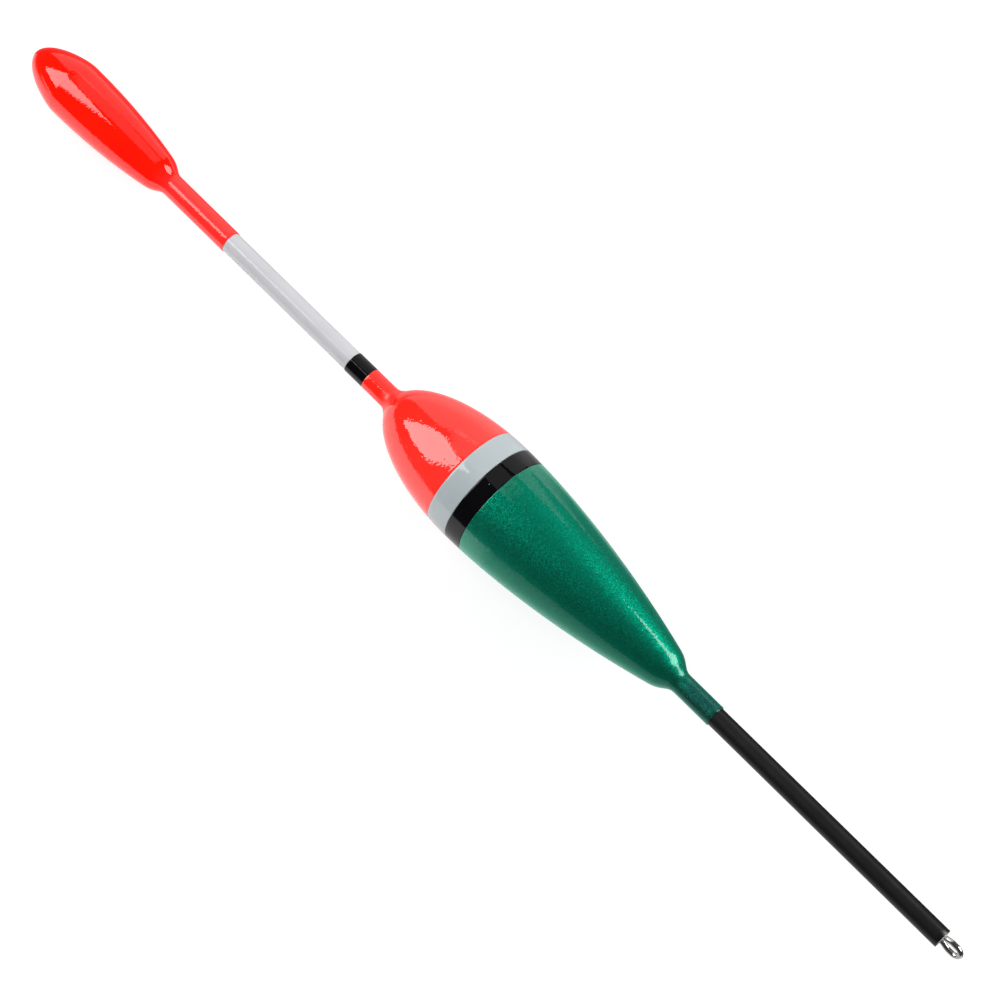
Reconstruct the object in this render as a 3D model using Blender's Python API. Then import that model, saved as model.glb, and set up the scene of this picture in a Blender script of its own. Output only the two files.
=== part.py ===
# A fishing float with a sight bulb, lying at rest on a level surface.
# Every piece is turned about the float's own axis, which is the local Z: 0 at the keel's cut end,
# rising to the tip of the bulb. One empty then lays the whole float down on its side.
import math

import bmesh
import bpy
from mathutils import Matrix, Vector

MM = 0.001

# Line eye: a wire hairpin whose two legs are glued in a plug in the keel's end
WIRE_DIAMETER = 0.78 * MM
EYE_REACH = 3.36 * MM
EYE_HOLE_WIDTH = 0.74 * MM
EYE_STRAIGHT_LENGTH = 0.57 * MM
EYE_BEND_LENGTH = 1.0 * MM
EYE_LEG_DEPTH = 6.0 * MM
EYE_TURN = math.radians(29)
LEG_WEB = 0.06 * MM
PLUG_WALL = 0.08 * MM
PLUG_LENGTH = 8.0 * MM

# Keel: a plastic tube under a black coat, with no lacquer over it from the body's neck to its cut end
KEEL_WALL = 0.26 * MM
KEEL_FILM = 0.09 * MM
KEEL_BARE_LENGTH = 40.8 * MM
KEEL_SPIGOT_LENGTH = 10.0 * MM

# Body: a turned wooden spindle under lacquer
BODY_DIAMETER = 16.0 * MM
BODY_TAPER_LENGTH = 34.0 * MM
BODY_TAPER_POWER = 1.79
BODY_DOME_LENGTH = 18.4 * MM
BODY_DOME_POWER = 2.0
NECK_LENGTH = 6.1 * MM
NECK_FILLET_HEIGHT = 3.5 * MM
NECK_FILLET_WIDTH = 1.57 * MM
CROWN_FILLET_HEIGHT = 1.6 * MM
CROWN_FILLET_WIDTH = 1.0 * MM
LACQUER_FILM = 0.14 * MM

# Colour zones on the body, measured from its widest circle
GREEN_TOP_DROP = 3.3 * MM
BLACK_BAND_WIDTH = 2.7 * MM
WHITE_BAND_WIDTH = 3.5 * MM

# Antenna: a thin plastic tube from the body up to the bulb, with its own colour zones
ANTENNA_WALL = 0.225 * MM
ANTENNA_FILM = 0.04 * MM
ANTENNA_SOCKET_DEPTH = 22.0 * MM
ANTENNA_RED_LENGTH = 3.8 * MM
ANTENNA_BLACK_LENGTH = 3.4 * MM
ANTENNA_WHITE_LENGTH = 25.0 * MM
ANTENNA_TIP_LENGTH = 12.1 * MM

# Sight bulb: a small wooden spindle on the antenna's end, dipped in red lacquer
BULB_DIAMETER = 8.8 * MM
BULB_TAPER_LENGTH = 17.8 * MM
BULB_TAPER_POWER = 2.07
BULB_NOSE_LENGTH = 8.0 * MM
BULB_NOSE_POWER = 1.4
BULB_FILLET_HEIGHT = 3.4 * MM
BULB_FILLET_WIDTH = 1.22 * MM
BULB_FILM = 0.08 * MM
BULB_SOCKET_DEPTH = 10.0 * MM

# Clearances: the film line under a coat, the glue line in a socket, the room at a socket's end
FILM_LINE = 0.02 * MM
GLUE_LINE = 0.05 * MM
SOCKET_END = 0.30 * MM

# How full a lacquer fillet is: the share of its height that each end runs on straight
FILLET_SHOULDER_RUN = 0.62
FILLET_NECK_RUN = 0.37

# Facets: counts, the angle that still shades smooth, and the reach within which points become one
SIDES = 32
FILLET_STEPS = 6
TAPER_STEPS = 7
DOME_STEPS = 7
EYE_STEPS = 12
WIRE_BEVEL_STEPS = 2
SMOOTH_ANGLE = math.radians(40)
WELD_REACH = 0.001 * MM
CUT_REACH = FILM_LINE / 2

# Radii from the wire outwards, each piece seated in or on the one before
WIRE_RADIUS = WIRE_DIAMETER / 2
LEG_RADIUS = LEG_WEB / 2 + GLUE_LINE + WIRE_RADIUS
PLUG_RADIUS = LEG_RADIUS + WIRE_RADIUS + GLUE_LINE + PLUG_WALL
KEEL_BORE_RADIUS = PLUG_RADIUS + GLUE_LINE
KEEL_RADIUS = KEEL_BORE_RADIUS + KEEL_WALL
KEEL_COAT_BORE = KEEL_RADIUS + FILM_LINE
KEEL_COAT_RADIUS = KEEL_COAT_BORE + KEEL_FILM
NECK_BORE = KEEL_COAT_RADIUS + FILM_LINE
NECK_RADIUS = NECK_BORE + LACQUER_FILM
ANTENNA_BORE_RADIUS = KEEL_RADIUS + GLUE_LINE
ANTENNA_RADIUS = ANTENNA_BORE_RADIUS + ANTENNA_WALL
ANTENNA_COAT_BORE = ANTENNA_RADIUS + FILM_LINE
ANTENNA_COAT_RADIUS = ANTENNA_COAT_BORE + ANTENNA_FILM
TIP_COAT_RADIUS = ANTENNA_COAT_BORE + BULB_FILM
SOCKET_RADIUS = ANTENNA_RADIUS + GLUE_LINE
BODY_RADIUS = BODY_DIAMETER / 2
BULB_RADIUS = BULB_DIAMETER / 2
SHOULDER_RADIUS = NECK_RADIUS + NECK_FILLET_WIDTH
CROWN_RADIUS = ANTENNA_COAT_RADIUS + CROWN_FILLET_WIDTH
BULB_SHOULDER_RADIUS = TIP_COAT_RADIUS + BULB_FILLET_WIDTH

# Heights along the axis, from the keel's cut end up
NECK_TOP = KEEL_BARE_LENGTH + NECK_LENGTH
SHOULDER = NECK_TOP + NECK_FILLET_HEIGHT
WIDEST = SHOULDER + BODY_TAPER_LENGTH
CROWN_SHARE = (1 - (CROWN_RADIUS / BODY_RADIUS) ** 2) ** (1 / BODY_DOME_POWER)
CROWN = WIDEST + BODY_DOME_LENGTH * CROWN_SHARE
BODY_TOP = CROWN + CROWN_FILLET_HEIGHT
GREEN_TOP = WIDEST - GREEN_TOP_DROP
BLACK_TOP = GREEN_TOP + BLACK_BAND_WIDTH
WHITE_TOP = BLACK_TOP + WHITE_BAND_WIDTH
RING_LOW = BODY_TOP + ANTENNA_RED_LENGTH
RING_HIGH = RING_LOW + ANTENNA_BLACK_LENGTH
TIP_COAT_LOW = RING_HIGH + ANTENNA_WHITE_LENGTH
BULB_LOW = TIP_COAT_LOW + ANTENNA_TIP_LENGTH
BULB_SHOULDER = BULB_LOW + BULB_FILLET_HEIGHT
BULB_WIDEST = BULB_SHOULDER + BULB_TAPER_LENGTH
BULB_TIP = BULB_WIDEST + BULB_NOSE_LENGTH
CORE_LOW = NECK_TOP + NECK_FILLET_HEIGHT / 2
CORE_HIGH = CROWN
BULB_CORE_LOW = BULB_LOW + BULB_FILLET_HEIGHT / 2
BODY_SEAT = CORE_HIGH - ANTENNA_SOCKET_DEPTH
BULB_SEAT = BULB_CORE_LOW + BULB_SOCKET_DEPTH


def clear_scene():
    for obj in list(bpy.data.objects):
        bpy.data.objects.remove(obj, do_unlink=True)


def finish(name, color, roughness, metallic=0.0, coat=0.0):
    material = bpy.data.materials.new(name)
    material.use_nodes = True
    shader = material.node_tree.nodes["Principled BSDF"]
    shader.inputs["Base Color"].default_value = (*color, 1.0)
    shader.inputs["Roughness"].default_value = roughness
    shader.inputs["Metallic"].default_value = metallic
    shader.inputs["Coat Weight"].default_value = coat
    return material


# Outlines: lists of (radius, height), rising

def taper(widest_radius, end_radius, widest, length, power):
    """The side below the widest circle, from its end up to just under that circle."""
    points = []
    for step in range(TAPER_STEPS):
        share = 1 - step / TAPER_STEPS
        radius = widest_radius - (widest_radius - end_radius) * share ** power
        points.append((radius, widest - length * share))
    return points


def dome(widest_radius, widest, length, power, end_share):
    """The rounded side above the widest circle, from that circle up to a share of the dome's length."""
    points = []
    for step in range(DOME_STEPS + 1):
        share = math.sin(math.asin(end_share) * step / DOME_STEPS)
        radius = widest_radius * math.sqrt(max(0.0, 1 - share ** power))
        points.append((radius, widest + length * share))
    return points


def fillet(start, start_way, end, end_way, start_run, end_run):
    """A lacquer fillet: a cubic from start to end, leaving and arriving along the given ways."""
    height = abs(end[1] - start[1])
    start_handle = Vector(start) + Vector(start_way).normalized() * height * start_run
    end_handle = Vector(end) - Vector(end_way).normalized() * height * end_run
    points = []
    for step in range(FILLET_STEPS + 1):
        t = step / FILLET_STEPS
        near = Vector(start) * (1 - t) ** 3 + start_handle * 3 * t * (1 - t) ** 2
        far = end_handle * 3 * t ** 2 * (1 - t) + Vector(end) * t ** 3
        points.append(tuple(near + far))
    return points


def taper_way(widest_radius, end_radius, length, power):
    """The way that a taper's side runs, upwards, at its lower end."""
    return (power * (widest_radius - end_radius) / length, 1.0)


def body_outline():
    """The lacquered surface of the body, from the neck on the keel to the antenna."""
    shoulder_way = taper_way(BODY_RADIUS, SHOULDER_RADIUS, BODY_TAPER_LENGTH, BODY_TAPER_POWER)
    neck = fillet((NECK_RADIUS, NECK_TOP), (0, 1), (SHOULDER_RADIUS, SHOULDER), shoulder_way,
                  FILLET_NECK_RUN, FILLET_SHOULDER_RUN)
    side = taper(BODY_RADIUS, SHOULDER_RADIUS, WIDEST, BODY_TAPER_LENGTH, BODY_TAPER_POWER)
    top = dome(BODY_RADIUS, WIDEST, BODY_DOME_LENGTH, BODY_DOME_POWER, CROWN_SHARE)
    crown_way = Vector(top[-1]) - Vector(top[-2])
    crown = fillet(top[-1], crown_way, (ANTENNA_COAT_RADIUS, BODY_TOP), (0, 1),
                   FILLET_NECK_RUN, FILLET_NECK_RUN)
    return neck[:-1] + side + top[:-1] + crown


def bulb_outline():
    """The lacquered surface of the bulb, from the antenna to the tip."""
    shoulder_way = taper_way(BULB_RADIUS, BULB_SHOULDER_RADIUS, BULB_TAPER_LENGTH, BULB_TAPER_POWER)
    shoulder = (BULB_SHOULDER_RADIUS, BULB_SHOULDER)
    neck = fillet((TIP_COAT_RADIUS, BULB_LOW), (0, 1), shoulder, shoulder_way,
                  FILLET_NECK_RUN, FILLET_SHOULDER_RUN)
    side = taper(BULB_RADIUS, BULB_SHOULDER_RADIUS, BULB_WIDEST, BULB_TAPER_LENGTH, BULB_TAPER_POWER)
    nose = dome(BULB_RADIUS, BULB_WIDEST, BULB_NOSE_LENGTH, BULB_NOSE_POWER, 1.0)
    return neck[:-1] + side + nose


def inset(outline, depth):
    """The same outline moved square to itself into the material."""
    moved = []
    last = len(outline) - 1
    for index, (radius, height) in enumerate(outline):
        before = outline[max(index - 1, 0)]
        after = outline[min(index + 1, last)]
        way = (Vector(after) - Vector(before)).normalized()
        if radius < WELD_REACH:
            moved.append((0.0, height - depth))
        else:
            moved.append((radius - way.y * depth, height + way.x * depth))
    return moved


def radius_at(outline, height):
    """The radius of an outline at one height, read between its points."""
    for (r0, z0), (r1, z1) in zip(outline, outline[1:]):
        if z0 <= height <= z1:
            return r0 + (r1 - r0) * (height - z0) / (z1 - z0)
    return outline[-1][0]


def between(outline, low, high):
    """The stretch of an outline between two heights, cut square at both."""
    inner = [point for point in outline if low + CUT_REACH < point[1] < high - CUT_REACH]
    return [(radius_at(outline, low), low)] + inner + [(radius_at(outline, high), high)]


def above(outline, low):
    """The stretch of an outline from one height up, cut square there."""
    inner = [point for point in outline if point[1] > low + CUT_REACH]
    return [(radius_at(outline, low), low)] + inner


# Solids

def add_object(name, mesh, material, carrier):
    mesh.materials.append(material)
    obj = bpy.data.objects.new(name, mesh)
    bpy.context.scene.collection.objects.link(obj)
    obj.parent = carrier
    return obj


def turned(name, outline, material, carrier):
    """Turns an outline about the axis. It closes on itself, unless both its ends are on the axis."""
    start = math.pi / SIDES
    bm = bmesh.new()
    points = [bm.verts.new((r * math.cos(start), r * math.sin(start), z)) for r, z in outline]
    edges = [bm.edges.new(pair) for pair in zip(points, points[1:])]
    if outline[0][0] > 0 or outline[-1][0] > 0:
        edges.append(bm.edges.new((points[-1], points[0])))
    bmesh.ops.spin(bm, geom=points + edges, cent=(0, 0, 0), axis=(0, 0, 1), angle=math.tau, steps=SIDES)
    bmesh.ops.remove_doubles(bm, verts=bm.verts[:], dist=WELD_REACH)
    bmesh.ops.recalc_face_normals(bm, faces=bm.faces[:])
    mesh = bpy.data.meshes.new(name)
    bm.to_mesh(mesh)
    bm.free()
    mesh.shade_smooth()
    mesh.set_sharp_from_angle(angle=SMOOTH_ANGLE)
    return add_object(name, mesh, material, carrier)


def sleeve(name, bore, radius, low, high, material, carrier):
    return turned(name, [(bore, low), (radius, low), (radius, high), (bore, high)], material, carrier)


def ring_coat(name, skin, under, low, high, material, carrier):
    """One band of lacquer on the body, with the film line left free at its upper edge."""
    top = high - FILM_LINE
    outline = between(skin, low, top) + between(under, low, top)[::-1]
    return turned(name, outline, material, carrier)


def build_body(carrier, lacquers, wood):
    skin = body_outline()
    under = inset(skin, LACQUER_FILM)
    core = inset(skin, LACQUER_FILM + FILM_LINE)

    # The core is bored for the antenna from above and for the keel from below
    keel_hole = KEEL_RADIUS + GLUE_LINE
    bore_floor = BODY_SEAT - SOCKET_END
    antenna_bore = [(SOCKET_RADIUS, CORE_HIGH), (SOCKET_RADIUS, bore_floor)]
    keel_bore = [(keel_hole, bore_floor), (keel_hole, CORE_LOW)]
    turned("body_core", between(core, CORE_LOW, CORE_HIGH) + antenna_bore + keel_bore, wood, carrier)

    # Green runs down over the shoulder and on to the keel's black coat
    pocket_floor = CORE_LOW - FILM_LINE
    edge = GREEN_TOP - FILM_LINE
    outside = [(NECK_RADIUS, KEEL_BARE_LENGTH)] + between(skin, NECK_TOP, edge)
    neck_bore = [(NECK_BORE, pocket_floor), (NECK_BORE, KEEL_BARE_LENGTH)]
    inside = between(under, pocket_floor, edge)[::-1] + neck_bore
    turned("green_body_coat", outside + inside, lacquers["green"], carrier)

    ring_coat("black_body_band", skin, under, GREEN_TOP, BLACK_TOP, lacquers["black"], carrier)
    ring_coat("white_body_band", skin, under, BLACK_TOP, WHITE_TOP, lacquers["white"], carrier)

    # Red runs up over the crown and on to the antenna
    pocket_top = CORE_HIGH + FILM_LINE
    edge = RING_LOW - FILM_LINE
    outside = between(skin, WHITE_TOP, BODY_TOP) + [(ANTENNA_COAT_RADIUS, edge)]
    antenna_bore = [(ANTENNA_COAT_BORE, edge), (ANTENNA_COAT_BORE, pocket_top)]
    inside = antenna_bore + between(under, WHITE_TOP, pocket_top)[::-1]
    turned("red_body_coat", outside + inside, lacquers["red"], carrier)
    return skin


def build_antenna(carrier, lacquers, plastic):
    top = BULB_SEAT - SOCKET_END
    sleeve("antenna_tube", ANTENNA_BORE_RADIUS, ANTENNA_RADIUS, BODY_SEAT, top, plastic, carrier)
    sleeve("black_antenna_ring", ANTENNA_COAT_BORE, ANTENNA_COAT_RADIUS, RING_LOW, RING_HIGH,
           lacquers["black"], carrier)


def build_bulb(carrier, lacquers, wood):
    skin = bulb_outline()
    under = inset(skin, LACQUER_FILM)
    core = inset(skin, LACQUER_FILM + FILM_LINE)
    socket = [(0.0, BULB_SEAT), (SOCKET_RADIUS, BULB_SEAT), (SOCKET_RADIUS, BULB_CORE_LOW)]
    turned("bulb_core", socket + above(core, BULB_CORE_LOW), wood, carrier)

    pocket_floor = BULB_CORE_LOW - FILM_LINE
    outside = [(TIP_COAT_RADIUS, TIP_COAT_LOW)] + skin
    antenna_bore = [(ANTENNA_COAT_BORE, TIP_COAT_LOW), (ANTENNA_COAT_BORE, pocket_floor)]
    inside = antenna_bore + above(under, pocket_floor)
    turned("red_bulb_coat", inside[::-1] + outside, lacquers["red"], carrier)


def build_keel(carrier, plastic, coat):
    top = BODY_SEAT + KEEL_SPIGOT_LENGTH
    sleeve("keel_tube", KEEL_BORE_RADIUS, KEEL_RADIUS, 0.0, top, plastic, carrier)
    sleeve("keel_coat", KEEL_COAT_BORE, KEEL_COAT_RADIUS, 0.0, CORE_LOW - FILM_LINE, coat, carrier)


def eye_path():
    """The hairpin's centre line: down one leg, out to the loop, straight on, round its long end, and back."""
    loop_radius = EYE_HOLE_WIDTH / 2 + WIRE_RADIUS
    bend_start = -(EYE_REACH - WIRE_RADIUS - EYE_BEND_LENGTH)
    spread_end = bend_start + EYE_STRAIGHT_LENGTH
    side = [(LEG_RADIUS, EYE_LEG_DEPTH)]
    for step in range(EYE_STEPS // 2 + 1):
        share = step / (EYE_STEPS // 2)
        ease = share * share * (3 - 2 * share)
        side.append((LEG_RADIUS + (loop_radius - LEG_RADIUS) * ease, spread_end * share))
    bend = []
    for step in range(EYE_STEPS + 1):
        angle = math.pi * step / EYE_STEPS
        bend.append((loop_radius * math.cos(angle), bend_start - EYE_BEND_LENGTH * math.sin(angle)))
    return side + bend + [(-x, z) for x, z in reversed(side)]


def build_eye(carrier, steel, glue):
    path = eye_path()
    curve = bpy.data.curves.new("line_eye", "CURVE")
    curve.dimensions = "3D"
    curve.bevel_depth = WIRE_RADIUS
    curve.bevel_resolution = WIRE_BEVEL_STEPS
    curve.use_fill_caps = True
    spline = curve.splines.new("POLY")
    spline.points.add(len(path) - 1)
    for point, (x, z) in zip(spline.points, path):
        point.co = (x, 0.0, z, 1.0)
    eye = add_object("line_eye", curve, steel, carrier)
    eye.rotation_euler.z = EYE_TURN

    outline = [(0.0, 0.0), (PLUG_RADIUS, 0.0), (PLUG_RADIUS, PLUG_LENGTH), (0.0, PLUG_LENGTH)]
    plug = turned("eye_plug", outline, glue, carrier)
    for side, sign in (("near", 1), ("far", -1)):
        cutter = leg_cutter(f"leg_hole_{side}", sign * LEG_RADIUS, carrier)
        cut = plug.modifiers.new(cutter.name, "BOOLEAN")
        cut.operation = "DIFFERENCE"
        cut.object = cutter


def leg_cutter(name, offset, carrier):
    """A round cutter for one wire leg, from below the plug to just past the leg's end."""
    top = EYE_LEG_DEPTH + GLUE_LINE
    bottom = -EYE_REACH
    bm = bmesh.new()
    bmesh.ops.create_cone(bm, cap_ends=True, segments=SIDES // 2, radius1=WIRE_RADIUS + GLUE_LINE,
                          radius2=WIRE_RADIUS + GLUE_LINE, depth=top - bottom)
    bmesh.ops.translate(bm, verts=bm.verts[:], vec=(offset, 0, (top + bottom) / 2))
    mesh = bpy.data.meshes.new(name)
    bm.to_mesh(mesh)
    bm.free()
    cutter = bpy.data.objects.new(name, mesh)
    bpy.context.scene.collection.objects.link(cutter)
    cutter.parent = carrier
    cutter.rotation_euler.z = EYE_TURN
    cutter.hide_render = True
    cutter.display_type = "WIRE"
    return cutter


# At rest

def rest_slope(body_skin, bulb_skin):
    """How far the axis drops towards the bulb, when the body and the bulb both touch the surface."""
    flat = math.cos(math.pi / SIDES)
    drops = []
    for body_radius, body_height in body_skin:
        onto = [(body_radius - radius) * flat / (height - body_height) for radius, height in bulb_skin]
        drops.append(min(onto))
    return max(drops)


def lay_down(carrier, slope):
    """Turns the upright float on to its side, bulb towards +X, and sets it down on the level of zero."""
    carrier.matrix_world = Matrix.Rotation(math.pi / 2 + math.atan(slope), 4, "Y")
    bpy.context.view_layer.update()
    graph = bpy.context.evaluated_depsgraph_get()
    corners = []
    for obj in carrier.children:
        if obj.hide_render:
            continue
        shape = obj.evaluated_get(graph)
        mesh = shape.to_mesh()
        corners += [obj.matrix_world @ vertex.co for vertex in mesh.vertices]
        shape.to_mesh_clear()
    low = [min(corner[axis] for corner in corners) for axis in range(3)]
    high = [max(corner[axis] for corner in corners) for axis in range(3)]
    carrier.location = (-(low[0] + high[0]) / 2, -(low[1] + high[1]) / 2, -low[2])
    bpy.context.view_layer.update()


def main():
    clear_scene()
    carrier = bpy.data.objects.new("float_axis", None)
    bpy.context.scene.collection.objects.link(carrier)

    lacquers = {
        "red": finish("red_lacquer", (0.90, 0.03, 0.02), 0.15, coat=1.0),
        "white": finish("white_lacquer", (0.70, 0.72, 0.76), 0.2, coat=1.0),
        "black": finish("black_lacquer", (0.01, 0.01, 0.012), 0.12, coat=1.0),
        "green": finish("green_flake_lacquer", (0.0, 0.12, 0.08), 0.2, metallic=0.4, coat=1.0),
    }
    white_plastic = finish("white_plastic", (0.72, 0.72, 0.75), 0.35)
    black_coat = finish("black_keel_coat", (0.02, 0.02, 0.022), 0.55)
    wood = finish("balsa", (0.70, 0.52, 0.32), 0.8)
    steel = finish("steel_wire", (0.60, 0.60, 0.62), 0.15, metallic=1.0)
    glue = finish("white_glue", (0.80, 0.80, 0.78), 0.5)

    body_skin = build_body(carrier, lacquers, wood)
    build_antenna(carrier, lacquers, white_plastic)
    build_bulb(carrier, lacquers, wood)
    build_keel(carrier, white_plastic, black_coat)
    build_eye(carrier, steel, glue)
    lay_down(carrier, rest_slope(body_skin, bulb_outline()))


main()
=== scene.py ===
import math

import bmesh
import bpy
from mathutils import Matrix, Vector


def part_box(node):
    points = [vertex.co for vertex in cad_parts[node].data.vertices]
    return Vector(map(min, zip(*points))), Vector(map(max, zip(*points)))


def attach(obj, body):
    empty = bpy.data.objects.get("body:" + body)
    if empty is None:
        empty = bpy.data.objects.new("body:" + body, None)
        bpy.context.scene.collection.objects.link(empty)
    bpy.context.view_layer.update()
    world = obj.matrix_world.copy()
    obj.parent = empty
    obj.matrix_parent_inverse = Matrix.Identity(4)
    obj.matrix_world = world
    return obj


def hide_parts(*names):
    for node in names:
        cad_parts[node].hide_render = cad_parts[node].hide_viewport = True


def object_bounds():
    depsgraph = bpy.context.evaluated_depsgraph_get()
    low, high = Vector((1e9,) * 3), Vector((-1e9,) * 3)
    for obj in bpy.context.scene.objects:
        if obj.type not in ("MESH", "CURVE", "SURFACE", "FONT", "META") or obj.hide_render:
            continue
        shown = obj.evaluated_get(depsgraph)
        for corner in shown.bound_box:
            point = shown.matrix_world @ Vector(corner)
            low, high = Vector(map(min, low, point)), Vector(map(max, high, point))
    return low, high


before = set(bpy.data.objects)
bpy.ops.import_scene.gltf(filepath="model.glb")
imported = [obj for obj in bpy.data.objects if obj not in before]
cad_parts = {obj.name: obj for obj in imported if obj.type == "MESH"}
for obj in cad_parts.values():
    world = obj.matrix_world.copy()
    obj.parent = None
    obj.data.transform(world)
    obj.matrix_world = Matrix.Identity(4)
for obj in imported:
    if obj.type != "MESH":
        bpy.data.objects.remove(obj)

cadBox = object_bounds()
scene = bpy.context.scene
scene.view_settings.view_transform = "Standard"
millimetre = 0.001
print("frame loaded:", len(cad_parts), "nodes")


# The float's own axis: 0 at the keel's cut end, rising to the tip of the bulb, in millimetres

def boxCentre(name):
    low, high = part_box(name)
    return (low + high) / 2


def findAxis():
    keel = boxCentre("keel_tube")
    way = (boxCentre("antenna_tube") - keel).normalized()
    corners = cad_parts["keel_tube"].data.vertices
    start = keel + way * min((corner.co - keel).dot(way) for corner in corners)
    side = Vector((0, 1, 0))
    down = side.cross(way)
    turn = Matrix((down, side, way)).transposed().to_4x4()
    return Matrix.Translation(start) @ turn @ Matrix.Scale(millimetre, 4)


axisToWorld = findAxis()
worldToAxis = axisToWorld.inverted()
sameRing = 0.01  # corners of a node this near each other along the axis belong to one ring


def rings(name):
    places = [worldToAxis @ corner.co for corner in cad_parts[name].data.vertices]
    return [(place.xy.length, place.z) for place in places]


def span(name):
    heights = [height for radius, height in rings(name)]
    return min(heights), max(heights)


def widest(name):
    return max(rings(name))


def boreRadius(name):
    return min(radius for radius, height in rings(name))


def ringRadius(name, place):
    return max(radius for radius, height in rings(name) if abs(height - place) < sameRing)


# Node helpers

def addNode(tree, kind, inputs=None, **settings):
    made = tree.nodes.new(kind)
    for name, value in settings.items():
        setattr(made, name, value)
    for name, value in (inputs or {}).items():
        if isinstance(value, bpy.types.NodeSocket):
            tree.links.new(value, made.inputs[name])
        else:
            made.inputs[name].default_value = value
    return made


def sums(tree, operation, *values, clamp=False):
    inputs = dict(enumerate(values))
    return addNode(tree, "ShaderNodeMath", inputs, operation=operation, use_clamp=clamp).outputs[0]


def noise(tree, where, scale, detail):
    inputs = {"Vector": where, "Scale": scale, "Detail": detail}
    return addNode(tree, "ShaderNodeTexNoise", inputs).outputs["Fac"]


def swing(tree, value):
    # noise of 0 to 1 as a swing of -1 to 1
    return sums(tree, "MULTIPLY_ADD", value, 2.0, -1.0)


def mapRange(tree, value, fromLow, fromHigh, toLow, toHigh):
    return addNode(tree, "ShaderNodeMapRange", {
        "Value": value, "From Min": fromLow, "From Max": fromHigh,
        "To Min": toLow, "To Max": toHigh}).outputs[0]


def newTree(name, kind, inputs, outputs):
    tree = bpy.data.node_groups.new(name, kind)
    for side, sockets in (("INPUT", inputs), ("OUTPUT", outputs)):
        for title, socketKind in sockets:
            tree.interface.new_socket(name=title, in_out=side, socket_type=socketKind)
    return tree, addNode(tree, "NodeGroupInput"), addNode(tree, "NodeGroupOutput")


def setInputs(modifier, values):
    for item in modifier.node_group.interface.items_tree:
        if item.item_type == "SOCKET" and item.in_out == "INPUT" and item.name in values:
            modifier[item.identifier] = values[item.name]


# Geometry nodes: a coat turned about the axis, and a bent wire

coatForm = {
    "driftScale": 2.6, "driftDetail": 3.0,  # the noise that moves a painted edge
    "rippleDetail": 1.0, "rippleFull": 0.5,  # the ripple has its full height from this radius outwards
    "weld": 0.0004,  # closes the seam and the poles
}


def edgeDrift(tree, form, height, aroundX, aroundY, edge, drift, reach):
    # how far one painted edge wanders along the float at this place round it
    spot = addNode(tree, "ShaderNodeCombineXYZ", {"X": aroundX, "Y": aroundY, "Z": edge}).outputs[0]
    wave = swing(tree, noise(tree, spot, form["driftScale"], form["driftDetail"]))
    away = sums(tree, "ABSOLUTE", sums(tree, "SUBTRACT", height, edge))
    near = sums(tree, "SUBTRACT", 1.0, sums(tree, "DIVIDE", away, reach), clamp=True)
    return sums(tree, "MULTIPLY", sums(tree, "MULTIPLY", wave, drift), near)


def ringPoint(tree, radius, aroundX, aroundY, height):
    return addNode(tree, "ShaderNodeCombineXYZ", {
        "X": sums(tree, "MULTIPLY", radius, aroundX),
        "Y": sums(tree, "MULTIPLY", radius, aroundY), "Z": height}).outputs[0]


def finishShape(tree, shape, finish, result):
    shape = addNode(tree, "GeometryNodeSetShadeSmooth", {"Geometry": shape}).outputs[0]
    shape = addNode(tree, "GeometryNodeRealizeInstances", {"Geometry": shape}).outputs[0]
    shape = addNode(tree, "GeometryNodeSetMaterial", {"Geometry": shape, "Material": finish}).outputs[0]
    tree.links.new(shape, result.inputs[0])


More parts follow.
